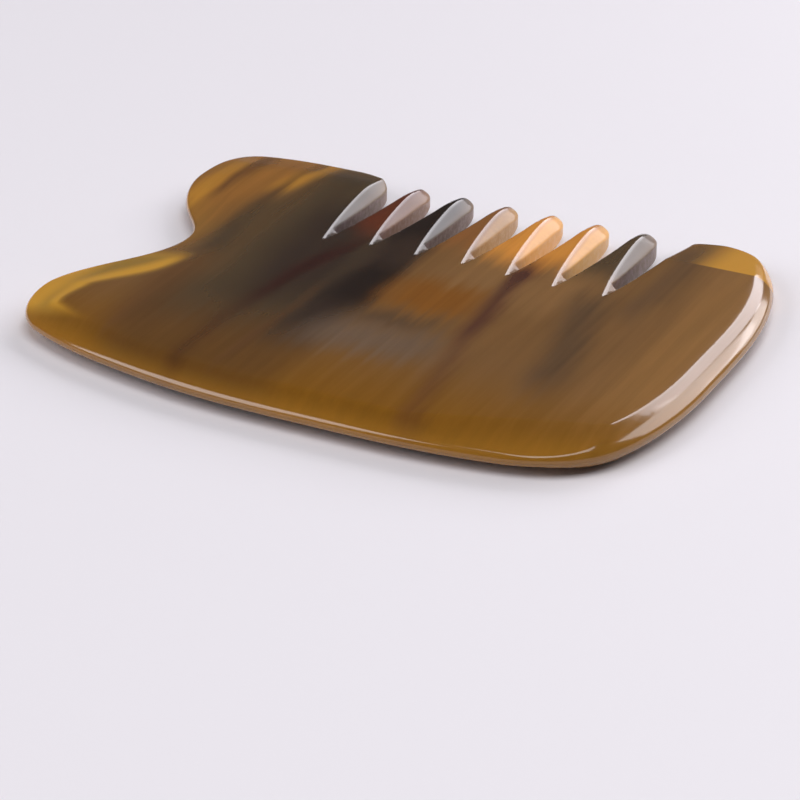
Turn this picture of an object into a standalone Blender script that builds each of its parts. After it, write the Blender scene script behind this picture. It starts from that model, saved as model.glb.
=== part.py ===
"""Gua sha comb plate: one flat piece of polished horn, carved from a single blank.

Seen from above, the rear edge (+Y) is a comb of seven slots, the left end (-X) is a fish-tail
notch between two lobes, and the front (-Y) and right (+X) edges are long scraping edges.
The section is a flat plate whose rim is thinned by a bevel above and below, and rounded.

Frame: metres, +Z up, origin under the centre of the plate's box to within half a millimetre, on
the face that it rests on.
Run with: blender --background --python part.py
"""

import math

import bmesh
import bpy
from mathutils import Vector

MM = 0.001

# Driving dimensions, in millimetres.
THICKNESS = 5.5
REAR_Y = 40.7
TIP_LINE_Y = 38.2

# The slots of the comb, cut by hand and so a little uneven: centre line, and where each starts.
SLOTS = (
    (-19.9, 9.6),
    (-12.2, 10.9),
    (-4.2, 10.8),
    (3.8, 11.2),
    (11.8, 10.4),
    (19.9, 10.0),
    (28.2, 10.4),
)

# A slot is a kerf that goes right through, and a shallow V groove above and below that bevels
# its edges. Lengths along a slot are shares of the way from its root to the tip line.
KERF_START = 0.19
KERF_HALF = 1.3
GROOVE_HALF = 3.75
GROOVE_FULLNESS = 1.75
GROOVE_DEPTH = 1.5
GROOVE_FULL_DEPTH_AT = 0.3
GROOVE_FLOOR_SHARE = 0.25
TIP_LENGTH = 5.0

# The rounded corners where the comb ends: width, and length along the slot. They run out a
# little beyond the rear edge.
LOBE_CORNER = (6.4, 6.2)
SHOULDER_CORNER = (7.5, 6.7)
CORNER_RUN_OUT = 0.3

# The last slot widens towards its mouth, because its outer wall leans out.
SHOULDER_LEAN = 1.9

# The bevel along the edge that the comb is cut into.
COMB_BEVEL = 7.0
COMB_RIM_HALF = 1.3

# How finely round stretches are divided, and how far cutters reach past what they cut.
POINTS_PER_SPAN = 10
RIM_STEPS = 4
KERF_END_STEPS = 6
WALL_STEPS = 5
TIP_STEPS = 8
GROOVE_STATIONS = 12
GROOVE_START = 0.2
CUTTER_MARGIN = 1.0
GROOVE_LID = 1.0
COMB_CLEARANCE = 5.0

# Edges that turn by more than this stay crisp.
CRISP_ANGLE = 25.0

HORN_COLOUR = (0.27, 0.13, 0.03, 1.0)
HORN_ROUGHNESS = 0.12

# The outline, anticlockwise: place, heading of the edge there in degrees, reach of the curve
# before and after, then the width of the bevel and half the thickness of the rim.
OUTLINE = (
    # x, y, heading, reach before, reach after, bevel width, rim half
    (-46.6, -32.8, -27.0, 4.5, 8.0, 5.0, 0.75),  # under the front lobe
    (-24.0, -39.5, -11.0, 9.0, 7.0, 4.0, 0.75),  # left part of the front edge
    (2.0, -41.5, 0.0, 11.0, 12.0, 5.0, 0.75),  # middle of the front edge
    (33.5, -39.8, 10.0, 12.0, 5.5, 8.0, 0.8),  # end of the front edge
    (48.7, -29.9, 65.0, 7.0, 6.5, 5.5, 1.3),  # front right corner
    (52.8, -6.4, 90.0, 9.0, 12.0, 3.2, 1.7),  # right edge
    (49.2, 28.6, 110.0, 12.0, 6.5, 4.5, 1.5),  # rear right corner
    (36.0, REAR_Y, 180.0, 6.5, 5.0, 6.0, 1.4),  # top of the shoulder
    (20.0, REAR_Y, 180.0, 5.0, 12.0, COMB_BEVEL, COMB_RIM_HALF),  # comb edge by the shoulder
    (-18.0, REAR_Y, 180.0, 12.0, 5.0, COMB_BEVEL, COMB_RIM_HALF),  # comb edge by the lobe
    (-32.5, REAR_Y, 180.0, 5.0, 4.5, 7.0, 1.3),  # top of the rear lobe
    (-45.5, 39.3, 193.0, 5.0, 2.6, 6.5, 1.3),  # rear corner of the lobe
    (-51.2, 35.3, 242.0, 2.6, 2.2, 5.5, 1.1),  # left corner of the lobe
    (-52.8, 28.1, 270.0, 3.0, 4.5, 6.0, 0.9),  # left end of the rear lobe
    (-47.6, 15.2, 308.0, 5.0, 4.5, 7.5, 0.9),  # side of the notch
    (-41.9, 4.5, 270.0, 4.5, 4.0, 8.0, 1.0),  # bottom of the notch
    (-46.3, -7.5, 236.0, 4.5, 4.5, 7.5, 1.2),  # other side of the notch
    (-52.8, -20.2, 270.0, 4.5, 5.0, 6.0, 0.9),  # left end of the front lobe
)


def clear_scene():
    for obj in list(bpy.data.objects):
        bpy.data.objects.remove(obj, do_unlink=True)


def smooth_step(t):
    return t * t * (3.0 - 2.0 * t)


def bezier(p0, p1, p2, p3, t):
    s = 1.0 - t
    return s**3 * p0 + 3.0 * s * s * t * p1 + 3.0 * s * t * t * p2 + t**3 * p3


def bezier_slope(p0, p1, p2, p3, t):
    s = 1.0 - t
    return 3.0 * s * s * (p1 - p0) + 6.0 * s * t * (p2 - p1) + 3.0 * t * t * (p3 - p2)


def outline_stations():
    """Points round the outline, each with its inward normal, bevel width and rim half."""
    stations = []
    for here, ahead in zip(OUTLINE, OUTLINE[1:] + OUTLINE[:1]):
        x, y, heading, _, reach_after, bevel_here, rim_here = here
        ahead_x, ahead_y, ahead_heading, reach_before, _, bevel_ahead, rim_ahead = ahead
        start = Vector((x, y))
        end = Vector((ahead_x, ahead_y))
        leaving = math.radians(heading)
        arriving = math.radians(ahead_heading)
        out_handle = start + reach_after * Vector((math.cos(leaving), math.sin(leaving)))
        in_handle = end - reach_before * Vector((math.cos(arriving), math.sin(arriving)))
        for step in range(POINTS_PER_SPAN):
            t = step / POINTS_PER_SPAN
            blend = smooth_step(t)
            point = bezier(start, out_handle, in_handle, end, t)
            slope = bezier_slope(start, out_handle, in_handle, end, t).normalized()
            inward = Vector((-slope.y, slope.x))
            bevel = bevel_here + (bevel_ahead - bevel_here) * blend
            rim = rim_here + (rim_ahead - rim_here) * blend
            stations.append((point, inward, bevel, rim))
    return stations


def section(bevel, rim):
    """Half of the edge's section, as (inset, height above mid-plane), from the rim inwards.

    The rim is an arc that runs into the bevel without a step.
    """
    half = THICKNESS / 2.0
    tilt = math.atan2(half - rim, bevel - rim)
    arc_end = math.pi / 2.0 - tilt
    radius = rim / math.sin(arc_end)
    points = []
    for step in range(RIM_STEPS + 1):
        angle = arc_end * step / RIM_STEPS
        points.append((radius * (1.0 - math.cos(angle)), radius * math.sin(angle)))
    points.append((bevel, half))
    return points


def ring(bm, stations, index, side):
    """One closed ring of vertices round the plate, above (side 1) or below (side -1)."""
    verts = []
    for point, inward, bevel, rim in stations:
        inset, height = section(bevel, rim)[index]
        place = point + inset * inward
        verts.append(bm.verts.new((place.x, place.y, THICKNESS / 2.0 + side * height)))
    return verts


def join_rings(bm, lower, upper):
    count = len(lower)
    for i in range(count):
        j = (i + 1) % count
        bm.faces.new((lower[i], lower[j], upper[j], upper[i]))


def finish_object(name, bm):
    """Turn a bmesh in millimetres into an object in metres."""
    bmesh.ops.recalc_face_normals(bm, faces=bm.faces)
    bmesh.ops.scale(bm, vec=(MM, MM, MM), verts=bm.verts)
    mesh = bpy.data.meshes.new(name)
    bm.to_mesh(mesh)
    bm.free()
    obj = bpy.data.objects.new(name, mesh)
    bpy.context.scene.collection.objects.link(obj)
    return obj


def make_blank():
    """The plate before the comb is cut."""
    stations = outline_stations()
    bm = bmesh.new()
    last = RIM_STEPS + 1
    rings = [ring(bm, stations, index, -1) for index in range(last, 0, -1)]
    rings += [ring(bm, stations, index, 1) for index in range(last + 1)]
    for lower, upper in zip(rings, rings[1:]):
        join_rings(bm, lower, upper)
    bm.faces.new(reversed(rings[0]))
    bm.faces.new(rings[-1])
    return finish_object("scraper_plate", bm)


def arc(centre_x, centre_y, radius_x, radius_y, start, stop, steps):
    points = []
    for step in range(steps + 1):
        angle = math.radians(start + (stop - start) * step / steps)
        x = centre_x + radius_x * math.cos(angle)
        y = centre_y + radius_y * math.sin(angle)
        points.append((x, y))
    return points


def along(root_y, t):
    return root_y + (TIP_LINE_Y - root_y) * t


def kerf_walls(x, root_y, end_t, lean):
    """The kerf seen from above: down its left wall, round its end and up its right wall."""
    centre_y = along(root_y, KERF_START) + KERF_HALF
    points = arc(x, centre_y, KERF_HALF, KERF_HALF, 180, 360, KERF_END_STEPS)
    first_t = KERF_START + KERF_HALF / (TIP_LINE_Y - root_y)
    for step in range(1, WALL_STEPS):
        t = first_t + (end_t - first_t) * step / WALL_STEPS
        points.append((x + KERF_HALF + lean * t, along(root_y, t)))
    return points


def comb_outline():
    """Everything that is cut right through the comb edge, seen from above."""
    clear_y = REAR_Y + COMB_CLEARANCE
    corner_top = REAR_Y + CORNER_RUN_OUT
    tip_y = TIP_LINE_Y - TIP_LENGTH
    lobe_width, lobe_length = LOBE_CORNER
    lobe_x = SLOTS[0][0] - KERF_HALF - lobe_width
    lobe_y = corner_top - lobe_length
    points = [(lobe_x, clear_y)]
    points += arc(lobe_x, lobe_y, lobe_width, lobe_length, 90, 0, TIP_STEPS)
    for here, ahead in zip(SLOTS, SLOTS[1:]):
        x, root_y = here
        end_t = (tip_y - root_y) / (TIP_LINE_Y - root_y)
        points += kerf_walls(x, root_y, end_t, 0.0)
        left = x + KERF_HALF
        right = ahead[0] - KERF_HALF
        tooth_half = (right - left) / 2.0
        points += arc(left + tooth_half, tip_y, tooth_half, TIP_LENGTH, 180, 0, TIP_STEPS)
    last_x, root_y = SLOTS[-1]
    end_t = (tip_y - root_y) / (TIP_LINE_Y - root_y)
    points += kerf_walls(last_x, root_y, end_t, SHOULDER_LEAN)
    width, length = SHOULDER_CORNER
    shoulder_x = last_x + KERF_HALF + SHOULDER_LEAN * end_t + width
    shoulder_y = corner_top - length
    points += arc(shoulder_x, shoulder_y, width, length, 180, 90, TIP_STEPS)
    points += [(shoulder_x, clear_y)]
    return points


def make_comb_cutter():
    bm = bmesh.new()
    bottom = [bm.verts.new((x, y, -CUTTER_MARGIN)) for x, y in comb_outline()]
    face = bm.faces.new(bottom)
    lifted = bmesh.ops.extrude_face_region(bm, geom=[face])["geom"]
    raised = [item for item in lifted if isinstance(item, bmesh.types.BMVert)]
    lift = (0.0, 0.0, THICKNESS + 2.0 * CUTTER_MARGIN)
    bmesh.ops.translate(bm, vec=lift, verts=raised)
    return finish_object("comb_cutter", bm)


def comb_drop(y):
    """How far the bevelled face lies below the flat face near the comb edge."""
    slope = (THICKNESS / 2.0 - COMB_RIM_HALF) / (COMB_BEVEL - COMB_RIM_HALF)
    return max(0.0, y - (REAR_Y - COMB_BEVEL)) * slope


def groove_profile(t, y):
    """The groove's section at share t, as (sideways, height over the flat face) points."""
    half = GROOVE_HALF * t * (GROOVE_FULLNESS + (1.0 - GROOVE_FULLNESS) * t)
    floor_half = GROOVE_FLOOR_SHARE * half
    depth = GROOVE_DEPTH * math.sin(math.pi / 2.0 * min(1.0, t / GROOVE_FULL_DEPTH_AT))
    spread = (half - floor_half) * GROOVE_LID / depth
    top = GROOVE_LID - comb_drop(y)
    floor = -depth - comb_drop(y)
    return (
        (-half - spread, top),
        (-floor_half, floor),
        (floor_half, floor),
        (half + spread, top),
    )


def make_groove_cutter(index, side):
    """The bevelling groove of one slot, in the upper (side 1) or lower (side -1) face."""
    x, root_y = SLOTS[index]
    bm = bmesh.new()
    rings = []
    for station in range(GROOVE_STATIONS + 2):
        t = (station + GROOVE_START) / GROOVE_STATIONS
        y = along(root_y, t)
        verts = []
        for dx, dz in groove_profile(t, y):
            z = THICKNESS / 2.0 + side * (THICKNESS / 2.0 + dz)
            verts.append(bm.verts.new((x + dx, y, z)))
        rings.append(verts)
    for lower, upper in zip(rings, rings[1:]):
        join_rings(bm, lower, upper)
    bm.faces.new(rings[0])
    bm.faces.new(rings[-1])
    place = "upper" if side > 0 else "lower"
    return finish_object(f"groove_cutter_{place}_{index + 1}", bm)


def cut(target, cutters):
    """Take all the cutters away from the target in one step."""
    group = bpy.data.collections.new("cutters")
    for cutter in cutters:
        cutter.hide_render = True
        cutter.display_type = "WIRE"
        group.objects.link(cutter)
    boolean = target.modifiers.new("comb", "BOOLEAN")
    boolean.operation = "DIFFERENCE"
    boolean.solver = "EXACT"
    boolean.operand_type = "COLLECTION"
    boolean.collection = group


def horn_material():
    material = bpy.data.materials.new("polished_horn")
    material.use_nodes = True
    shader = material.node_tree.nodes["Principled BSDF"]
    shader.inputs["Base Color"].default_value = HORN_COLOUR
    shader.inputs["Roughness"].default_value = HORN_ROUGHNESS
    shader.inputs["Metallic"].default_value = 0.0
    material.diffuse_color = HORN_COLOUR
    return material


def main():
    clear_scene()
    plate = make_blank()
    cutters = [make_comb_cutter()]
    for index in range(len(SLOTS)):
        cutters += [make_groove_cutter(index, side) for side in (1, -1)]
    cut(plate, cutters)
    plate.data.materials.append(horn_material())
    plate.data.shade_smooth()
    plate.data.set_sharp_from_angle(angle=math.radians(CRISP_ANGLE))


main()
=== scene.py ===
"""The finished look of the gua sha comb plate: one plate of polished, translucent ox horn.

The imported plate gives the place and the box. This script makes the fine surface that stands for
it, the horn material, a pale floor, soft lights and the camera. Plan sizes are in millimetres in
the plate's own frame: +X along the comb, +Y towards the comb edge, +Z up.
"""

import math

import bpy
import numpy as np
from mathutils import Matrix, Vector, geometry


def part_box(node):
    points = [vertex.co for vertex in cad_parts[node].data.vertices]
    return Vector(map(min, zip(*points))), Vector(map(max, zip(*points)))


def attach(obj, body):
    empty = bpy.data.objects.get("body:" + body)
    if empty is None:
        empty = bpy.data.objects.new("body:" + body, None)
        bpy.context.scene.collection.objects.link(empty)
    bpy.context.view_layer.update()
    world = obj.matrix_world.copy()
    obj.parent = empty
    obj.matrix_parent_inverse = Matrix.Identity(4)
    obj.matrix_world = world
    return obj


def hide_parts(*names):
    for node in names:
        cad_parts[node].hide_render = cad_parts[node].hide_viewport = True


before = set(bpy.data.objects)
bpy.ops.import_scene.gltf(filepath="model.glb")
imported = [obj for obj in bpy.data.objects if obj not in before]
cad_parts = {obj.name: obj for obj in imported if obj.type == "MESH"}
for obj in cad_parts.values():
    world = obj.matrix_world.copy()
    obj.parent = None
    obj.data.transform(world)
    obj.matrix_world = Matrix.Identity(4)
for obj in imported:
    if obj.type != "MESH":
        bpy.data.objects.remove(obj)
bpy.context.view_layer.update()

NODE = "scraper_plate"
SLOT = "polished_horn"
MM = 0.001
LOW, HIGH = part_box(NODE)

# ---------------------------------------------------------------------------------------------
# Driving dimensions, in millimetres
# ---------------------------------------------------------------------------------------------

HALF = (HIGH.z - LOW.z) / MM / 2.0
REAR_Y = HIGH.y / MM
TIP_LINE_Y = 38.2

# Each slot of the comb: its centre line, and where its groove starts. They are cut by hand.
SLOTS = (
    (-19.9, 9.6),
    (-12.2, 10.9),
    (-4.2, 10.8),
    (3.8, 11.2),
    (11.8, 10.4),
    (19.9, 10.0),
    (28.2, 10.4),
)

# The kerf goes right through. It starts at a share of the way from the groove's start to the
# tips, widens towards its mouth, and its right wall leans further out, most of all at the shoulder.
KERF_START = 0.19
KERF_HALF_AT_ROOT = 0.75
KERF_HALF_AT_MOUTH = 1.35
KERF_LEAN = 1.1
SHOULDER_LEAN = 1.9
KERF_EDGE_RADIUS = 0.25

# The groove above and below each kerf: half its width at the tips, how full its sides are, how far
# past the tips it still widens, the slope of its wide left side and of its steep right side, its
# greatest depth, and how far its valley lies to the right of the centre line, as a share of its
# half width.
GROOVE_HALF = 3.85
GROOVE_FULLNESS = 1.75
GROOVE_END = 1.15
GROOVE_SLOPE = 0.56
GROOVE_FAR_SLOPE = 1.25
GROOVE_LIMIT = 1.9
VALLEY_SHARE = (GROOVE_FAR_SLOPE - GROOVE_SLOPE) / (GROOVE_FAR_SLOPE + GROOVE_SLOPE)
GROOVE_SOFTNESS = 0.12

# Seen from above, the teeth end in half ellipses of this length. The corners beside the comb are
# quarter ellipses: width and length.
TIP_LENGTH = 5.0
LOBE_CORNER = (7.8, 7.2)
SHOULDER_CORNER = (7.0, 6.6)

# Two flat facets leave the face along a crisp straight line: where the line starts, the heading
# that falls away from it, and how steeply. They are at the shoulder and at the front right corner.
FACET_SOFTNESS = 0.25
FACET_REACH = 40.0
SHOULDER_FACET = (SLOTS[-1][0], 28.2, 90.0, 0.135)
FRONT_FACET = (19.0, -37.0, -70.5, 0.25)

# Each tooth's tip is rounded over, down to a line just past the tips. The rounding fades in beside
# the first and the last slot.
TIP_ROUND_LENGTH = 2.6
TIP_ROUND_DROP = 0.9
TIP_ROUND_PAST = 0.3
TIP_ROUND_FADE = 2.0

# Outside its bevel, the right end has a second, steeper one.
SIDE_FALL = 0.45
SIDE_SOFTNESS = 0.2

# The outline, anticlockwise: place, heading of the edge there in degrees, reach of the curve
# before and after, then bevel width, half the rim's thickness, softness of the bevel's line, and
# width of the side bevel.
OUTLINE = (
    # x, y, heading, reach before, reach after, bevel, rim half, softness, side bevel
    (-46.6, -32.8, -27.0, 4.5, 8.0, 5.0, 0.95, 1.5, 0.0),  # under the front lobe
    (-24.0, -39.5, -11.0, 9.0, 7.0, 4.0, 0.95, 1.2, 0.0),  # left part of the front edge
    (2.0, -41.5, 0.0, 11.0, 12.0, 4.0, 0.95, 1.0, 0.0),  # middle of the front edge
    (33.5, -39.8, 10.0, 12.0, 5.5, 4.0, 0.95, 0.5, 0.0),  # end of the front edge
    (48.7, -29.9, 65.0, 7.0, 6.5, 3.2, 1.6, 0.2, 1.1),  # front right corner
    (52.8, -6.4, 90.0, 9.0, 12.0, 3.2, 1.7, 0.2, 1.6),  # right edge
    (49.2, 28.6, 110.0, 12.0, 6.5, 2.9, 1.7, 0.2, 1.5),  # rear right corner
    (36.0, REAR_Y, 180.0, 6.5, 5.0, 2.6, 1.4, 0.6, 0.0),  # top of the shoulder
    (20.0, REAR_Y, 180.0, 5.0, 12.0, 8.0, 1.5, 2.5, 0.0),  # comb edge by the shoulder
    (-18.0, REAR_Y, 180.0, 12.0, 5.0, 8.0, 1.5, 2.5, 0.0),  # comb edge by the lobe
    (-32.5, REAR_Y, 180.0, 5.0, 4.5, 8.0, 1.5, 2.5, 0.0),  # top of the rear lobe
    (-45.5, 39.3, 193.0, 5.0, 2.6, 8.0, 1.6, 2.5, 0.0),  # rear corner of the lobe
    (-51.2, 35.3, 242.0, 2.6, 2.2, 7.5, 1.5, 2.5, 0.0),  # left corner of the lobe
    (-52.8, 28.1, 270.0, 3.0, 4.5, 7.0, 1.2, 2.5, 0.0),  # left end of the rear lobe
    (-47.6, 15.2, 308.0, 5.0, 4.5, 8.0, 0.9, 2.5, 0.0),  # side of the notch
    (-41.9, 4.5, 270.0, 4.5, 4.0, 8.5, 1.0, 1.5, 0.0),  # bottom of the notch
    (-46.3, -7.5, 236.0, 4.5, 4.5, 10.2, 1.3, 1.4, 0.0),  # other side of the notch
    (-52.8, -20.2, 270.0, 4.5, 5.0, 9.0, 0.9, 1.6, 0.0),  # left end of the front lobe
)

# How finely the surface is divided: steps for each span of the outline, for each arc and for each
# wall of a kerf, then the spacing of points along the edge, over the face and along each line.
SPAN_STEPS = 100
ARC_STEPS = 40
WALL_STEPS = 60
EDGE_STEP = 0.28
FACE_STEP = 0.75
LINE_STEP = 0.3
LINE_SIDES = (-0.25, 0.0, 0.25)

# Points closer than this share of their spacing are dropped. Lines run a little past the tips, and
# follow the side bevel where it is wide enough, and the bevel up to where its two sides meet.
CLOSEST = 0.6
PAST_TIPS = 1.1
LEAST_SIDE_BEVEL = 1.0
MEETING_SLACK = 0.02

# The comb's corners touch the outline, so they are tested against one this much further forward.
TOUCHING_SLACK = 0.01

# The rounding of the edge: its rings, the narrow apron inside them, how far in it may reach, and
# half the thickness of the flat that is left at the very edge.
ROUND_STEPS = 6
ROUND_APRON = 0.3
RIM_INSET = 0.75
RIM_FLAT = 0.05


# ---------------------------------------------------------------------------------------------
# The outline and the comb, seen from above
# ---------------------------------------------------------------------------------------------


def smooth_step(t):
    """An even rise from 0 to 1 with soft ends."""
    t = np.clip(t, 0.0, 1.0)
    return t * t * (3.0 - 2.0 * t)


def heading_vector(degrees):
    return np.array([math.cos(math.radians(degrees)), math.sin(math.radians(degrees))])


def run_along(path):
    """The way covered along a path, at each of its points."""
    steps = np.linalg.norm(np.diff(path, axis=0), axis=1)
    return np.concatenate([[0.0], np.cumsum(steps)])


def inward_normals(loop):
    """The direction into an anticlockwise loop, at each of its points."""
    ahead = np.roll(loop, -1, axis=0) - np.roll(loop, 1, axis=0)
    ahead /= np.linalg.norm(ahead, axis=1)[:, None]
    return np.stack([-ahead[:, 1], ahead[:, 0]], 1)


def blank_outline():
    """The plate's outline before the comb is cut: points, and the last four values at each."""
    points = []
    traits = []
    t = (np.arange(SPAN_STEPS) / SPAN_STEPS)[:, None]
    s = 1.0 - t
    for here, ahead in zip(OUTLINE, OUTLINE[1:] + OUTLINE[:1]):
        start = np.array(here[0:2])
        end = np.array(ahead[0:2])
        out_handle = start + here[4] * heading_vector(here[2])
        in_handle = end - ahead[3] * heading_vector(ahead[2])
        curve = s**3 * start + 3 * s * s * t * out_handle + 3 * s * t * t * in_handle + t**3 * end
        points.append(curve)
        before = np.array(here[5:9])
        after = np.array(ahead[5:9])
        traits.append(before + (after - before) * smooth_step(t))
    return np.concatenate(points), np.concatenate(traits)


def along(root_y, t):
    """The y at a share of the way from a groove's start to the tips."""
    return root_y + (TIP_LINE_Y - root_y) * t


def kerf_half(t):
    """Half the width of a kerf."""
    return KERF_HALF_AT_ROOT + (KERF_HALF_AT_MOUTH - KERF_HALF_AT_ROOT) * t


def arc(centre_x, centre_y, radius_x, radius_y, start, stop):
    """Part of an ellipse, between two angles in degrees."""
    angles = np.radians(np.linspace(start, stop, ARC_STEPS))
    return np.stack([centre_x + radius_x * np.cos(angles), centre_y + radius_y * np.sin(angles)], 1)


def comb_path():
    """The edge of the comb from the lobe to the shoulder, and how much of it is sawn, 0 to 1."""
    tip_y = TIP_LINE_Y - TIP_LENGTH
    pieces = []
    width, length = LOBE_CORNER
    wall_x = SLOTS[0][0] - KERF_HALF_AT_MOUTH
    pieces.append(arc(wall_x - width, REAR_Y - length, width, length, 90, 0))
    for index, (x, root_y) in enumerate(SLOTS):
        radius = kerf_half(KERF_START)
        centre_y = along(root_y, KERF_START) + radius
        start_t = (centre_y - root_y) / (TIP_LINE_Y - root_y)
        end_t = (tip_y - root_y) / (TIP_LINE_Y - root_y)
        wall_t = np.linspace(end_t, start_t, WALL_STEPS)[1:-1]
        wall_y = along(root_y, wall_t)
        lean = SHOULDER_LEAN if index + 1 == len(SLOTS) else KERF_LEAN
        far_wall_x = x + kerf_half(wall_t) + lean * (wall_t - start_t)
        pieces.append(np.stack([x - kerf_half(wall_t), wall_y], 1))
        pieces.append(arc(x, centre_y, radius, radius, 180, 360))
        pieces.append(np.stack([far_wall_x, wall_y], 1)[::-1])
        if index + 1 < len(SLOTS):
            left = x + kerf_half(end_t) + lean * (end_t - start_t)
            right = SLOTS[index + 1][0] - kerf_half(end_t)
            half = (right - left) / 2.0
            pieces.append(arc(left + half, tip_y, half, TIP_LENGTH, 180, 0))
    width, length = SHOULDER_CORNER
    wall_x = pieces[-1][-1, 0]
    pieces.append(arc(wall_x + width, REAR_Y - length, width, length, 180, 90))
    path = np.concatenate(pieces)
    run = run_along(path)
    fade = LOBE_CORNER[1]
    sawn = smooth_step(run / fade) * smooth_step((run[-1] - run) / fade)
    return path, sawn


def bevel_slope(bevel, rim):
    """How steeply the bevel falls, so that it runs on smoothly into the rounded rim."""
    tilt = np.arctan2(HALF - rim, bevel - rim)
    inset = rim / np.cos(tilt) * (1.0 - np.sin(tilt))
    return (HALF - rim) / (bevel - inset)


def resample(points, values, step):
    """A closed path and the values along it, at even steps."""
    closed = np.concatenate([points, points[:1]])
    run = run_along(closed)
    count = int(run[-1] / step)
    places = np.arange(count) * run[-1] / count
    closed_values = np.concatenate([values, values[:1]])
    new_points = np.stack([np.interp(places, run, closed[:, axis]) for axis in (0, 1)], 1)
    columns = range(values.shape[1])
    new_values = np.stack([np.interp(places, run, closed_values[:, c]) for c in columns], 1)
    return new_points, new_values


def plate_edge(blank, traits):
    """The whole edge of the plate with its comb: points, inward normals, rounding and sawn share."""
    comb, sawn = comb_path()
    cut = inside_loop(comb, blank - (0.0, TOUCHING_SLACK))
    comb, sawn = comb[cut], sawn[cut]
    rear = (blank[:, 1] > TIP_LINE_Y) & (blank[:, 0] > comb[0, 0]) & (blank[:, 0] < comb[-1, 0])
    first = int(np.argmax(rear))
    last = len(rear) - 1 - int(np.argmax(rear[::-1]))
    points = np.concatenate([blank[:first], comb[::-1], blank[last + 1 :]])
    sawn = np.concatenate([np.zeros(first), sawn[::-1], np.zeros(len(blank) - last - 1)])
    points, values = resample(points, sawn[:, None], EDGE_STEP)
    sawn = values[:, 0]
    rim_radius = half_height(points, blank, traits)[0] - RIM_FLAT
    radius = rim_radius + (KERF_EDGE_RADIUS - rim_radius) * sawn
    return points, inward_normals(points), radius, sawn


# ---------------------------------------------------------------------------------------------
# The height of the surface
# ---------------------------------------------------------------------------------------------


def nearest_on_loop(places, loop):
    """Distance from each place to a closed loop, with the segment and the share along it."""
    step = np.roll(loop, -1, axis=0) - loop
    length2 = np.maximum((step**2).sum(1), 1e-12)
    distance = np.empty(len(places))
    segment = np.empty(len(places), int)
    share = np.empty(len(places))
    chunk = 2000
    for low in range(0, len(places), chunk):
        part = places[low : low + chunk, None, :] - loop[None]
        t = np.clip((part * step[None]).sum(2) / length2, 0.0, 1.0)
        gap2 = ((part - t[..., None] * step[None]) ** 2).sum(2)
        best = gap2.argmin(1)
        rows = np.arange(len(best))
        distance[low : low + chunk] = np.sqrt(gap2[rows, best])
        segment[low : low + chunk] = best
        share[low : low + chunk] = t[rows, best]
    return distance, segment, share


def inside_loop(places, loop):
    """Whether each place is inside a closed loop."""
    x0, y0 = loop[:, 0], loop[:, 1]
    x1, y1 = np.roll(x0, -1), np.roll(y0, -1)
    inside = np.zeros(len(places), bool)
    chunk = 4000
    for low in range(0, len(places), chunk):
        x = places[low : low + chunk, 0, None]
        y = places[low : low + chunk, 1, None]
        spans = (y0 > y) != (y1 > y)
        rise = np.where(y1 == y0, 1.0, y1 - y0)
        crossing = x0 + (y - y0) / rise * (x1 - x0)
        inside[low : low + chunk] = ((x < crossing) & spans).sum(1) % 2 == 1
    return inside


def groove_half(t):
    """Half the width of a slot's groove where it meets the flat face."""
    return GROOVE_HALF * t * (GROOVE_FULLNESS + (1.0 - GROOVE_FULLNESS) * t)


def soft_rise(distance, softness):
    """A ramp that starts at zero, rounded off over the softness on either side."""
    bend = np.clip((distance + softness) / (2.0 * softness), 0.0, 1.0)
    return np.where(distance > softness, distance, softness * bend * bend)


def groove_depth(places):
    """How deep the slots' grooves are cut below the face."""
    depth = np.zeros(len(places))
    for x, root_y in SLOTS:
        t = np.clip((places[:, 1] - root_y) / (TIP_LINE_Y - root_y), 0.0, GROOVE_END)
        near = GROOVE_SLOPE * soft_rise(groove_half(t) + places[:, 0] - x, GROOVE_SOFTNESS)
        far = GROOVE_FAR_SLOPE * soft_rise(groove_half(t) + x - places[:, 0], GROOVE_SOFTNESS)
        cut = np.minimum(np.minimum(near, far), GROOVE_LIMIT)
        depth = np.maximum(depth, np.where(t > 0.0, cut, 0.0))
    return depth


def facet_drop(places, facet):
    """How far a flat facet lies below the face."""
    x, y, heading, fall = facet
    beyond = (places - (x, y)) @ heading_vector(heading)
    return fall * soft_rise(beyond, FACET_SOFTNESS)


def tip_drop(places):
    """How far the rounded tips of the teeth fall below the bevel."""
    end = TIP_LINE_Y + TIP_ROUND_PAST
    s = np.clip((places[:, 1] - end + TIP_ROUND_LENGTH) / TIP_ROUND_LENGTH, 0.0, 1.0)
    fall = TIP_ROUND_DROP * (1.0 - np.sqrt(1.0 - s * s))
    after_first = (places[:, 0] - SLOTS[0][0] + TIP_ROUND_FADE) / TIP_ROUND_FADE
    before_last = (SLOTS[-1][0] - places[:, 0] + TIP_ROUND_FADE) / TIP_ROUND_FADE
    return smooth_step(after_first) * smooth_step(before_last) * fall


def half_height(places, blank, traits):
    """Half the plate's thickness before its edge is rounded, and the depth of bevel and groove."""
    distance, segment, share = nearest_on_loop(places, blank)
    ahead = np.roll(traits, -1, axis=0)
    local = traits[segment] + (ahead[segment] - traits[segment]) * share[:, None]
    bevel, rim, softness, side_bevel = local.T
    bevel_drop = bevel_slope(bevel, rim) * soft_rise(bevel - distance, softness)
    bevel_drop = bevel_drop + SIDE_FALL * soft_rise(side_bevel - distance, SIDE_SOFTNESS)
    shoulder = facet_drop(places, SHOULDER_FACET) * (places[:, 0] > SHOULDER_FACET[0])
    bevel_drop = np.maximum(bevel_drop, np.maximum(shoulder, facet_drop(places, FRONT_FACET)))
    grooves = groove_depth(places)
    return HALF - bevel_drop - grooves - tip_drop(places), bevel_drop, grooves


# ---------------------------------------------------------------------------------------------
# The mesh
# ---------------------------------------------------------------------------------------------


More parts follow.
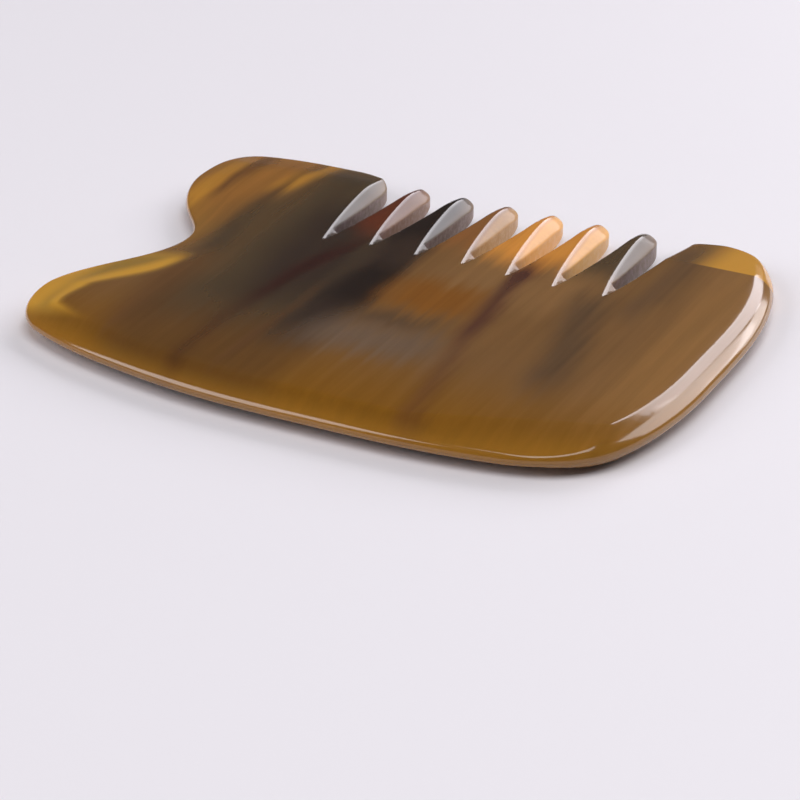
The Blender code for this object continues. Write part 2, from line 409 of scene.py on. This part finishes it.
def feature_lines(blank, traits):
    """Points along the lines where the surface turns: bevels, facets and grooves."""
    inward = inward_normals(blank)
    lines = []
    for side in LINE_SIDES:
        line = blank + inward * (traits[:, 0:1] + side)
        distance, _, _ = nearest_on_loop(line, blank)
        lines.append(line[distance > traits[:, 0] + side - MEETING_SLACK])
        side_line = blank + inward * (traits[:, 3:4] + side)
        lines.append(side_line[traits[:, 3] > LEAST_SIDE_BEVEL])
    for x, y, heading, _ in (SHOULDER_FACET, FRONT_FACET):
        run = np.arange(-FACET_REACH, FACET_REACH, LINE_STEP)[:, None]
        for side in LINE_SIDES:
            crease = np.array((x, y)) + side * heading_vector(heading)
            lines.append(crease + run * heading_vector(heading + 90.0))
    for x, root_y in SLOTS:
        t = np.linspace(0.0, PAST_TIPS, int(PAST_TIPS * (TIP_LINE_Y - root_y) / LINE_STEP))
        y = along(root_y, t)
        for side in LINE_SIDES:
            for hand in (-1.0, 1.0):
                lines.append(np.stack([x + hand * (groove_half(t) + side), y], 1))
        lines.append(np.stack([x + VALLEY_SHARE * groove_half(t), y], 1)[t < KERF_START])
    return np.concatenate(lines)


def thinned(points, spacing, taken=None):
    """Drops points that lie closer than the spacing to one that is kept already."""
    kept = {}
    result = []
    for point in [] if taken is None else taken:
        kept.setdefault((int(point[0] // spacing), int(point[1] // spacing)), []).append(point)
    for point in points:
        column, row = int(point[0] // spacing), int(point[1] // spacing)
        near = [
            other
            for i in (column - 1, column, column + 1)
            for j in (row - 1, row, row + 1)
            for other in kept.get((i, j), ())
        ]
        if all((point[0] - o[0]) ** 2 + (point[1] - o[1]) ** 2 > spacing**2 for o in near):
            kept.setdefault((column, row), []).append(point)
            result.append(point)
    return np.array(result)


def face_points(inner, blank, traits):
    """Points all over the flat and bevelled face, inside the inner loop."""
    lines = feature_lines(blank, traits)
    columns = np.arange(inner[:, 0].min(), inner[:, 0].max(), FACE_STEP)
    rows = np.arange(inner[:, 1].min(), inner[:, 1].max(), FACE_STEP * math.sqrt(3.0) / 2.0)
    grid = np.stack(np.meshgrid(columns, rows), 2)
    grid[1::2, :, 0] += FACE_STEP / 2.0
    grid = grid.reshape(-1, 2)
    chosen = []
    for places in (lines, grid):
        places = places[inside_loop(places, inner)]
        distance, _, _ = nearest_on_loop(places, inner)
        chosen.append(places[distance > LINE_STEP * CLOSEST])
    lines = thinned(chosen[0], LINE_STEP * CLOSEST)
    grid = thinned(chosen[1], FACE_STEP * CLOSEST, lines)
    return np.concatenate([lines, grid])


def triangulate(inner, points):
    """Triangles between the inner loop and the points inside it, as indices into both."""
    places = [Vector(p) for p in np.concatenate([inner, points])]
    count = len(inner)
    edges = [(i, (i + 1) % count) for i in range(count)]
    made = geometry.delaunay_2d_cdt(places, edges, [], 0, 1e-6, True)
    verts, faces, sources = np.array([tuple(v) for v in made[0]]), made[2], made[3]
    centres = np.array([verts[list(face)].mean(0) for face in faces])
    keep = inside_loop(centres, inner)
    origin = [source[0] for source in sources]
    return [tuple(origin[i] for i in face) for face, wanted in zip(faces, keep) if wanted]


def rounded_edge(edge, inward, radius):
    """Rings that round the edge over, from the widest line inwards, and how far each is dropped."""
    angles = np.linspace(0.0, math.pi / 2.0, ROUND_STEPS)
    reach = np.minimum(radius, RIM_INSET)
    insets = [reach * (1.0 - math.cos(angle)) for angle in angles] + [reach + ROUND_APRON]
    drops = [radius * (1.0 - math.sin(angle)) for angle in angles] + [0.0 * radius]
    return [edge + inward * inset[:, None] for inset in insets], drops


def plate_faces(count, ring_count, total, inner):
    """The faces of the closed surface: rings and inner triangles above and below, and the wall."""
    top = []
    for outer in range(0, (ring_count - 1) * count, count):
        for i in range(count):
            j = (i + 1) % count
            top.append((outer + i, outer + j, outer + count + j, outer + count + i))
    last_ring = (ring_count - 1) * count
    top += [tuple(last_ring + i for i in face) for face in inner]
    bottom = [tuple(total + i for i in reversed(face)) for face in top]
    wall = [(total + i, total + (i + 1) % count, (i + 1) % count, i) for i in range(count)]
    return top + bottom + wall


def make_plate():
    """The fine closed surface of the plate, with the values that its material reads."""
    blank, traits = blank_outline()
    edge, inward, radius, sawn = plate_edge(blank, traits)
    rings, drops = rounded_edge(edge, inward, radius)
    points = face_points(rings[-1], blank, traits)
    inner = triangulate(rings[-1], points)
    places = np.concatenate(rings + [points])
    half, bevel_drop, grooves = half_height(places, blank, traits)
    height = half.copy()
    height[: len(rings) * len(edge)] -= np.concatenate(drops)
    height = np.maximum(height, RIM_FLAT)
    flat = np.clip(places, (LOW.x / MM, LOW.y / MM), (HIGH.x / MM, HIGH.y / MM))
    middle = (LOW.z + HIGH.z) / MM / 2.0
    upper = np.column_stack([flat, middle + height])
    lower = np.column_stack([flat, middle - height])
    verts = np.concatenate([upper, lower]) * MM
    faces = plate_faces(len(edge), len(rings), len(places), inner)
    mesh = bpy.data.meshes.new("horn_plate")
    mesh.from_pydata(verts.tolist(), [], faces)
    sawn_here = np.zeros(len(places))
    sawn_here[: len(edge)] = sawn
    values = {"thin": 1.0 - half / HALF, "sawn": sawn_here, "groove": grooves, "bevel": bevel_drop}
    for name, column in values.items():
        layer = mesh.attributes.new(name, "FLOAT", "POINT")
        layer.data.foreach_set("value", np.tile(column, 2).astype(np.float32))
    mesh.shade_smooth()
    plate = bpy.data.objects.new("horn_plate", mesh)
    bpy.context.scene.collection.objects.link(plate)
    return plate


# ---------------------------------------------------------------------------------------------
# Node helpers
# ---------------------------------------------------------------------------------------------


def set_inputs(tree, node, inputs):
    """Links each input that is given as a socket, and sets each one that is given as a value."""
    for key, value in inputs.items():
        if isinstance(value, bpy.types.NodeSocket):
            tree.links.new(value, node.inputs[key])
        else:
            node.inputs[key].default_value = value
    return node


def add_node(tree, kind, inputs=None, **settings):
    node = tree.nodes.new("ShaderNode" + kind)
    for key, value in settings.items():
        setattr(node, key, value)
    return set_inputs(tree, node, inputs or {})


def value_on_mesh(tree, name):
    """One of the values that the plate's mesh carries."""
    return add_node(tree, "Attribute", attribute_name=name).outputs["Fac"]


def maths(tree, operation, a, b=0.0, c=0.0):
    return add_node(tree, "Math", {0: a, 1: b, 2: c}, operation=operation).outputs[0]


def ramp(tree, value, low, high, to_low=0.0, to_high=1.0):
    """A smooth step of the value from low to high."""
    inputs = {"Value": value, "From Min": low, "From Max": high, "To Min": to_low, "To Max": to_high}
    return add_node(tree, "MapRange", inputs, interpolation_type="SMOOTHSTEP").outputs[0]


def mix(tree, factor, a, b, blend="MIX"):
    """One colour over another, each given as a socket or as linear red, green and blue."""
    node = add_node(tree, "Mix", {0: factor}, data_type="RGBA", blend_type=blend)
    colours = [c if isinstance(c, bpy.types.NodeSocket) else (*c, 1.0) for c in (a, b)]
    return set_inputs(tree, node, {6: colours[0], 7: colours[1]}).outputs[2]


def noise(tree, vector, stretch, scale, detail=2.0, roughness=0.5):
    """Noise of about 0 to 1 over the vector, stretched by a factor for each axis."""
    scaled = add_node(tree, "VectorMath", {0: vector, 1: stretch}, operation="MULTIPLY").outputs[0]
    inputs = {"Vector": scaled, "Scale": scale, "Detail": detail, "Roughness": roughness}
    return add_node(tree, "TexNoise", inputs).outputs[0]


# ---------------------------------------------------------------------------------------------
# The horn
# ---------------------------------------------------------------------------------------------


# What each band of colour is given by, besides its colour and strength.
STREAK_VALUES = ("Centre", "Drift", "Bend", "Half", "Edge", "Low", "High", "Fade")


def streak_group():
    """A band of colour that follows the grain: 1 inside the band, fading to 0 past its sides."""
    tree = bpy.data.node_groups.new("grain_streak", "ShaderNodeTree")
    for name in ("X", "Y", *STREAK_VALUES):
        tree.interface.new_socket(name, in_out="INPUT", socket_type="NodeSocketFloat")
    tree.interface.new_socket("Mask", in_out="OUTPUT", socket_type="NodeSocketFloat")
    given = tree.nodes.new("NodeGroupInput").outputs
    drifted = maths(tree, "MULTIPLY_ADD", given["Y"], given["Drift"], given["Centre"])
    squared = maths(tree, "MULTIPLY", given["Y"], given["Y"])
    centre = maths(tree, "MULTIPLY_ADD", squared, given["Bend"], drifted)
    offset = maths(tree, "ABSOLUTE", maths(tree, "SUBTRACT", given["X"], centre))
    inner = maths(tree, "SUBTRACT", given["Half"], given["Edge"])
    outer = maths(tree, "ADD", given["Half"], given["Edge"])
    across = ramp(tree, offset, inner, outer, 1.0, 0.0)
    low_end = maths(tree, "SUBTRACT", given["Low"], given["Fade"])
    low_start = maths(tree, "ADD", given["Low"], given["Fade"])
    high_start = maths(tree, "SUBTRACT", given["High"], given["Fade"])
    high_end = maths(tree, "ADD", given["High"], given["Fade"])
    above = ramp(tree, given["Y"], low_end, low_start)
    below = ramp(tree, given["Y"], high_start, high_end, 1.0, 0.0)
    mask = maths(tree, "MULTIPLY", across, maths(tree, "MULTIPLY", above, below))
    result = tree.nodes.new("NodeGroupOutput")
    tree.links.new(mask, result.inputs["Mask"])
    return tree


def paint(red, green, blue):
    """A colour as read off a paint card, 0 to 255, as the linear values that a shader takes."""
    shares = [value / 255.0 for value in (red, green, blue)]
    return tuple(((share + 0.055) / 1.055) ** 2.4 for share in shares)


# Polished horn, and how much rougher the sawn sides of the slots are.
POLISHED_ROUGHNESS = 0.12
SAWN_ROUGHER = 0.36

# Colours of the horn.
BASE_BROWN = paint(118, 85, 48)
RIGHT_BROWN = paint(142, 102, 54)
FRONT_AMBER = paint(126, 83, 14)
LOBE_AMBER = paint(150, 102, 46)
# Gold of the lobe's bright stripes; also painted over thin horn as light coming through it.
GOLD = paint(196, 140, 50)
ORANGE = paint(128, 80, 24)
TOOTH_ORANGE = paint(218, 146, 60)
OLIVE_DARK = paint(73, 60, 42)
SMOKE = paint(50, 38, 32)
NEAR_BLACK = paint(36, 26, 20)
RED_BROWN = paint(54, 24, 18)
TOOTH_RED = paint(98, 46, 24)
PURPLE_BROWN = paint(72, 40, 34)
GREY_BROWN = paint(106, 88, 72)
# Painted light at the outer edge of the front lobe's bevel.
OLIVE_GOLD = paint(152, 120, 52)
HORN_DUST = paint(178, 160, 168)
STREAK_BROWN = paint(92, 62, 36)
SHADE_BROWN = paint(84, 64, 44)
ROOT_BROWN = paint(134, 99, 60)
FRONT_SHADE = paint(84, 58, 30)
# Painted light on the thinned horn between the notch and the front lobe.
LOBE_GOLD = paint(208, 156, 54)
# Painted light on the shoulder facet.
SHOULDER_GOLD = paint(214, 156, 56)
# Painted glow of the teeth's sawn sides.
PAINTED_GLOW = paint(216, 178, 92)
TOOTH_AMBER = paint(140, 90, 46)

# Bands along the grain: centre at y = 0, drift and bend with y, half width, edge, from y, to y,
# fade, colour and strength. They are laid over each other in this order.
STREAKS = (
    # centre, drift, bend, half, edge, low, high, fade, colour, strength
    (50.0, 0.0, 0.0, 8.0, 6.0, -60.0, 60.0, 5.0, RIGHT_BROWN, 0.85),  # right end
    (15.0, 0.0, 0.0, 13.5, 4.0, 1.0, 22.0, 5.0, ROOT_BROWN, 0.7),  # roots of the teeth
    (0.0, 0.0, 0.0, 70.0, 5.0, -60.0, -27.0, 11.0, FRONT_AMBER, 0.9),  # along the front edge
    (-44.0, 0.0, 0.0, 9.5, 4.0, 14.0, 60.0, 8.0, LOBE_AMBER, 0.9),  # rear lobe
    (-40.0, 0.17, 0.0, 2.2, 1.6, 25.0, 60.0, 4.0, GOLD, 0.75),  # bright stripes on the lobe
    (-51.0, 0.12, 0.0, 1.9, 1.2, 16.0, 34.0, 4.0, GOLD, 0.6),
    (-47.5, 0.10, 0.0, 1.0, 1.0, 20.0, 60.0, 4.0, STREAK_BROWN, 0.75),
    (-36.0, 0.0, 0.0, 1.0, 1.0, 18.0, 60.0, 5.0, STREAK_BROWN, 0.6),
    (-33.5, -0.05, 0.0, 3.2, 2.6, -4.0, 24.0, 7.0, OLIVE_DARK, 0.8),  # left flank of the dark
    (-32.5, 0.0, 0.0, 3.5, 3.5, -32.0, -4.0, 7.0, STREAK_BROWN, 0.6),
    (-19.0, -0.02, 0.0, 15.0, 6.0, -42.0, -14.0, 9.0, FRONT_SHADE, 0.7),  # front of the dark
    (-19.0, -0.04, 0.0, 12.0, 4.5, -20.0, 60.0, 9.0, OLIVE_DARK, 0.93),  # broad dark band
    (-18.5, -0.05, 0.0, 6.0, 3.0, -12.0, 26.0, 11.0, SMOKE, 0.8),  # its smoky middle
    (-12.5, 0.01, 0.0, 1.2, 1.2, -34.0, -6.0, 6.0, STREAK_BROWN, 0.5),  # lighter vein
    (-17.9, 0.21, 0.0042, 1.3, 1.5, -14.0, 14.0, 7.0, RED_BROWN, 0.8),  # red streak
    (-17.9, 0.21, 0.0042, 1.2, 1.8, -44.0, -14.0, 8.0, RED_BROWN, 0.42),
    (-7.4, 0.0, 0.0, 4.2, 2.4, -22.0, 60.0, 9.0, SMOKE, 0.9),  # dark heart
    (-6.6, 0.0, 0.0, 4.2, 2.4, -9.0, 5.0, 4.0, NEAR_BLACK, 0.9),
    (5.4, 0.0, 0.0, 7.5, 4.5, -6.5, 4.0, 3.5, ORANGE, 0.9),  # orange patch
    (3.0, 0.0, 0.0, 7.0, 4.5, -14.0, -8.5, 3.0, SHADE_BROWN, 0.8),  # shade between
    (5.0, 0.05, 0.0, 10.5, 4.5, -23.0, -13.5, 4.5, GREY_BROWN, 0.8),  # grey cloud
    (15.2, -0.13, 0.0, 1.6, 1.9, -11.0, 16.0, 6.0, PURPLE_BROWN, 0.8),  # purple streak
    (15.2, -0.15, 0.0, 1.6, 2.2, -44.0, -10.0, 8.0, PURPLE_BROWN, 0.4),
    (14.0, 0.0, 0.0, 1.9, 1.5, 9.0, 22.0, 4.0, PURPLE_BROWN, 0.75),
    (29.6, -0.15, 0.0, 2.6, 2.6, -22.0, 11.0, 7.0, SHADE_BROWN, 0.8),  # shade on the right
    (34.8, 0.0, 0.0, 2.0, 1.8, 6.0, 60.0, 6.0, SHADE_BROWN, 0.6),
)

# The teeth, from left to right: the middle of each, its colour, how strongly it shows, and how
# strongly its sawn sides glow with painted light, standing in for light coming through the horn.
# One band of colour covers each tooth.
TOOTH_BAND = {"Half": 3.6, "Edge": 0.8, "Low": 17.0, "High": 60.0, "Fade": 5.0}
TEETH = (
    (-16.0, TOOTH_RED, 0.85, 0.04),
    (-8.2, NEAR_BLACK, 0.9, 0.0),
    (-0.2, TOOTH_AMBER, 0.7, 0.2),
    (7.8, TOOTH_ORANGE, 0.78, 0.27),
    (15.8, TOOTH_ORANGE, 0.8, 0.27),
    (24.0, OLIVE_DARK, 0.85, 0.0),
)


def painted_lobe_light(tree, colour, parts):
    """Painted light: gold and olive painted on the thinned horn between the notch and the front
    lobe, standing in for light coming through it.
    """
    bevel = value_on_mesh(tree, "bevel")
    left = ramp(tree, parts[0], -38.5, -34.0, 1.0, 0.0)
    front = ramp(tree, parts[1], -1.0, -7.0)
    back = ramp(tree, parts[1], -32.0, -27.0)
    zone = maths(tree, "MULTIPLY", left, maths(tree, "MULTIPLY", front, back))
    gold = maths(tree, "MULTIPLY", zone, ramp(tree, bevel, 0.0, 0.35))
    colour = mix(tree, gold, colour, LOBE_GOLD)
    edge = ramp(tree, bevel, 0.45, 1.05)
    edge = maths(tree, "MULTIPLY", edge, ramp(tree, parts[0], -50.5, -45.0))
    return mix(tree, maths(tree, "MULTIPLY", zone, edge), colour, OLIVE_GOLD)


def painted_shoulder_light(tree, colour, parts):
    """Painted light: the facet of the shoulder, from its crisp line on, is painted a lighter gold.
    """
    beyond = ramp(tree, parts[1], SHOULDER_FACET[1] - 0.1, SHOULDER_FACET[1] + 0.25)
    right = ramp(tree, parts[0], 34.0, 40.5, 0.0, 0.85)
    return mix(tree, maths(tree, "MULTIPLY", beyond, right), colour, SHOULDER_GOLD)


def saw_marks(tree, place, sawn, fine):
    """A faint grain all over, and the marks of the saw on the walls of the kerfs."""
    marks = noise(tree, place, (0.25, 1.0, 0.25), 4.0, 3.0, 0.6)
    height = maths(tree, "MULTIPLY", marks, sawn)
    height = maths(tree, "MULTIPLY_ADD", fine, 0.03, height)
    inputs = {"Strength": 0.5, "Distance": 0.15 * MM, "Height": height}
    return add_node(tree, "Bump", inputs).outputs[0]


def add_streak(tree, group, inputs):
    """The mask of one band of colour."""
    node = tree.nodes.new("ShaderNodeGroup")
    node.node_tree = group
    return set_inputs(tree, node, inputs).outputs["Mask"]


def banded_colour(tree, place, parts, fibre):
    """The colour of the bands and the teeth, and the teeth's painted glow for light through them."""
    broad = noise(tree, place, (1.0, 0.45, 1.0), 0.07, 3.0)
    sway = maths(tree, "MULTIPLY_ADD", broad, 7.0, -3.5)
    sway = maths(tree, "ADD", sway, maths(tree, "MULTIPLY_ADD", fibre, 1.8, -0.9))
    x = maths(tree, "ADD", parts[0], sway)
    y = maths(tree, "ADD", parts[1], maths(tree, "MULTIPLY_ADD", fibre, 9.0, -4.5))
    group = streak_group()
    colour = BASE_BROWN
    for *values, tint, strength in STREAKS:
        inputs = {"X": x, "Y": y, **dict(zip(STREAK_VALUES, values))}
        mask = add_streak(tree, group, inputs)
        colour = mix(tree, maths(tree, "MULTIPLY", mask, strength), colour, tint)
    # Painted glow of each tooth's sides, standing in for light coming through the horn.
    painted_glow = 0.0
    for centre, tint, strength, through in TEETH:
        mask = add_streak(tree, group, {"X": parts[0], "Y": y, "Centre": centre, **TOOTH_BAND})
        colour = mix(tree, maths(tree, "MULTIPLY", mask, strength), colour, tint)
        painted_glow = maths(tree, "MULTIPLY_ADD", mask, through, painted_glow)
    return colour, painted_glow


def grained(tree, colour, fibre, fine):
    """The colour with the light and dark of the fibres."""
    light = ramp(tree, fibre, 0.25, 0.75, 0.92, 1.07)
    light = maths(tree, "MULTIPLY", light, ramp(tree, fine, 0.2, 0.8, 0.97, 1.03))
    shade = add_node(tree, "CombineColor", {0: light, 1: light, 2: light}).outputs[0]
    return mix(tree, 1.0, colour, shade, "MULTIPLY")


def horn_material():
    material = bpy.data.materials.new(SLOT)
    material.use_nodes = True
    tree = material.node_tree
    shader = tree.nodes["Principled BSDF"]
    place = add_node(tree, "TexCoord").outputs["Object"]
    scale = (1.0 / MM,) * 3
    place = add_node(tree, "VectorMath", {0: place, 1: scale}, operation="MULTIPLY").outputs[0]
    parts = add_node(tree, "SeparateXYZ", {0: place}).outputs
    fibre = noise(tree, place, (1.0, 0.05, 0.6), 0.55, 3.0)
    fine = noise(tree, place, (1.0, 0.03, 0.8), 2.6, 2.0)
    mottle = noise(tree, place, (1.0, 1.0, 1.0), 0.9, 4.0, 0.65)
    thin, groove, sawn = (value_on_mesh(tree, name) for name in ("thin", "groove", "sawn"))

    colour, painted_glow = banded_colour(tree, place, parts, fibre)
    colour = grained(tree, colour, fibre, fine)
    colour = painted_lobe_light(tree, colour, parts)
    colour = painted_shoulder_light(tree, colour, parts)
    # Painted light: thinner horn is painted towards gold, standing in for light coming through it.
    colour = mix(tree, ramp(tree, thin, 0.1, 0.9, 0.0, 0.3), colour, GOLD)
    dust = maths(tree, "MULTIPLY", sawn, ramp(tree, mottle, 0.35, 0.7, 0.12, 0.38))
    colour = mix(tree, dust, colour, HORN_DUST)

    # Painted glow: the grooves' sides and sawn walls of the paler teeth give off light of their own,
    # standing in for light coming through the horn.
    sides = maths(tree, "MAXIMUM", ramp(tree, groove, 0.05, 0.5), sawn)
    painted_glow_mask = maths(tree, "MULTIPLY", painted_glow, sides)
    painted_glow_mask = maths(tree, "MULTIPLY", painted_glow_mask, ramp(tree, mottle, 0.3, 0.7, 0.8, 1.1))
    matt = maths(tree, "MAXIMUM", ramp(tree, groove, 0.0, 0.3), sawn)
    rough = maths(tree, "MULTIPLY_ADD", matt, SAWN_ROUGHER, POLISHED_ROUGHNESS)
    inputs = {
        "Base Color": colour,
        "Emission Color": mix(tree, painted_glow_mask, (0.0, 0.0, 0.0), PAINTED_GLOW),
        "Emission Strength": 1.0,
        "Roughness": maths(tree, "MULTIPLY_ADD", fine, 0.05, rough),
        "Normal": saw_marks(tree, place, sawn, fine),
        "IOR": 1.55,
        "Coat Weight": 0.3,
        "Coat Roughness": 0.04,
        "Subsurface Weight": 0.12,
        "Subsurface Radius": (1.0, 0.5, 0.2),
        "Subsurface Scale": 2.0 * MM,
    }
    set_inputs(tree, shader, inputs)
    return material


# ---------------------------------------------------------------------------------------------
# Floor, lights and camera
# ---------------------------------------------------------------------------------------------


# The floor ends inside the ring of lights, where it is still well lit, in metres.
FLOOR_REACH = 1.0
FLOOR_COLOUR = (0.80, 0.79, 0.83, 1.0)
FLOOR_ROUGHNESS = 0.6

# The pale backdrop as it is seen, and the little light that it gives.
BACKDROP_COLOUR = (0.80, 0.80, 0.86, 1.0)
BACKDROP_SEEN = 0.85
BACKDROP_LIGHT = 0.06

# The camera looks along this heading and elevation, in degrees, from this place in millimetres.
VIEW_AZIMUTH = 26.94
VIEW_ELEVATION = 27.0
CAMERA_PLACE = (200.6, -396.7, 212.7)
CAMERA_LENS = 144.0

# Softboxes, all aimed at the origin. Headings are in degrees to the right of the view, distances
# and sizes in metres, power in watts.
SOFTBOXES = (
    # name, heading, elevation, distance, width, height, power, tint
    ("back_right_softbox", 28.0, 29.5, 1.2, 0.58, 0.69, 4.9, (0.97, 0.94, 1.0)),
    ("right_softbox", 68.0, 29.0, 1.2, 0.85, 0.62, 5.6, (1.0, 0.93, 0.93)),
    ("low_right_softbox", 49.0, 12.0, 1.2, 0.36, 0.28, 1.1, (1.0, 0.93, 0.93)),
    ("left_softbox", -108.0, 33.0, 1.2, 0.75, 0.85, 7.6, (1.0, 0.94, 0.96)),
    ("overhead_fill", 160.0, 72.0, 1.3, 0.9, 0.9, 8.6, (0.99, 0.99, 1.0)),
)


def make_floor():
    mesh = bpy.data.meshes.new("floor")
    sides = (-FLOOR_REACH, FLOOR_REACH)
    corners = [(x, y, 0.0) for y in sides for x in sides]
    mesh.from_pydata(corners, [], [(0, 1, 3, 2)])
    floor = bpy.data.objects.new("floor", mesh)
    bpy.context.scene.collection.objects.link(floor)
    material = bpy.data.materials.new("pale_floor")
    material.use_nodes = True
    shader = material.node_tree.nodes["Principled BSDF"]
    shader.inputs["Base Color"].default_value = FLOOR_COLOUR
    shader.inputs["Roughness"].default_value = FLOOR_ROUGHNESS
    mesh.materials.append(material)


def towards(heading, elevation):
    """The direction to a point in the sky: heading in degrees right of the view, and elevation."""
    turn = math.radians(90.0 + VIEW_AZIMUTH - heading)
    rise = math.radians(elevation)
    return Vector((math.cos(turn) * math.cos(rise), math.sin(turn) * math.cos(rise), math.sin(rise)))


def add_softbox(name, heading, elevation, distance, width, height, power, tint):
    data = bpy.data.lights.new(name, "AREA")
    data.shape = "RECTANGLE"
    data.size = width
    data.size_y = height
    data.energy = power
    data.color = tint
    light = bpy.data.objects.new(name, data)
    way = towards(heading, elevation)
    light.location = way * distance
    light.rotation_euler = way.to_track_quat("Z", "Y").to_euler()
    bpy.context.scene.collection.objects.link(light)


def make_camera():
    data = bpy.data.cameras.new("camera")
    data.lens = CAMERA_LENS
    data.sensor_width = 36.0
    data.clip_start = 0.01
    camera = bpy.data.objects.new("camera", data)
    camera.location = Vector(CAMERA_PLACE) * MM
    back = towards(180.0, VIEW_ELEVATION)
    camera.rotation_euler = back.to_track_quat("Z", "Y").to_euler()
    bpy.context.scene.collection.objects.link(camera)
    bpy.context.scene.camera = camera


def make_world():
    world = bpy.data.worlds.new("studio")
    world.use_nodes = True
    tree = world.node_tree
    backdrop = tree.nodes["Background"]
    backdrop.inputs["Color"].default_value = BACKDROP_COLOUR
    seen = add_node(tree, "LightPath").outputs["Is Camera Ray"]
    strength = maths(tree, "MULTIPLY_ADD", seen, BACKDROP_SEEN - BACKDROP_LIGHT, BACKDROP_LIGHT)
    tree.links.new(strength, backdrop.inputs["Strength"])
    bpy.context.scene.world = world


make_camera()
make_world()
make_floor()
for softbox in SOFTBOXES:
    add_softbox(*softbox)
bpy.context.scene.view_settings.view_transform = "Standard"

plate = make_plate()
plate.data.materials.append(horn_material())
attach(plate, "root")
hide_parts(NODE)
